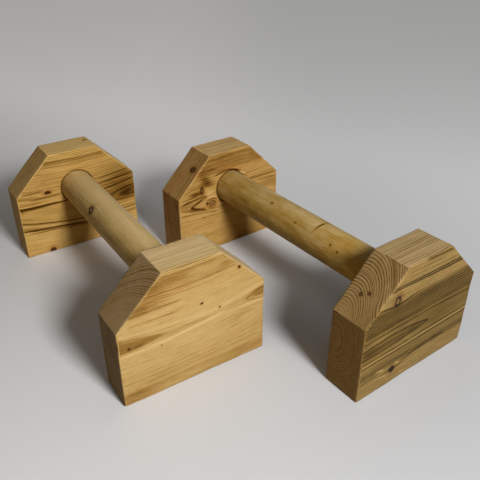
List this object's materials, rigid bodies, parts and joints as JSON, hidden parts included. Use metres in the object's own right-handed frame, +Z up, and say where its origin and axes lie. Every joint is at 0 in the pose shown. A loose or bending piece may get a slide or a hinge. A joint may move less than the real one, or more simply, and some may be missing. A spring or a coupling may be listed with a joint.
{
  "type": "parallette bars",
  "caption": "Low timber parallette bars: a round grip dowel let into upright end blocks with sawn-off upper corners, glued and screwed, standing loose side by side.",
  "frame": {"origin": "on the floor, in the middle of the pair's footprint as it stands in the picture", "axes": "+Y along the left bar, away from the viewer; +X across, towards the right bar; +Z up"},
  "size_m": [0.3682, 0.5036, 0.145],
  "materials": {
    "golden_timber": "sanded, lightly oiled",
    "honey_timber": "sanded, lightly oiled",
    "brown_timber": "sanded, lightly oiled",
    "dowel_timber": "sanded smooth",
    "screw_steel": "yellow zinc",
    "glue": "cured wood glue"
  },
  "bodies": {
    "left_bar": {"left_bar_far_block": "honey_timber", "left_bar_near_block": "golden_timber", "left_bar_far_glue": "glue", "left_bar_near_glue": "glue", "left_bar_far_screw": "screw_steel", "left_bar_near_screw": "screw_steel", "left_bar_grip_dowel": "dowel_timber"},
    "right_bar": {"right_bar_far_block": "honey_timber", "right_bar_near_block": "brown_timber", "right_bar_far_glue": "glue", "right_bar_near_glue": "glue", "right_bar_far_screw": "screw_steel", "right_bar_near_screw": "screw_steel", "right_bar_grip_dowel": "dowel_timber"}
  },
  "joints": [
    {"name": "bar_spacing", "type": "slide", "parent": "left_bar", "child": "right_bar", "axis": [1, 0, 0], "range_m": [-0.06, 0.36]}
  ]
}
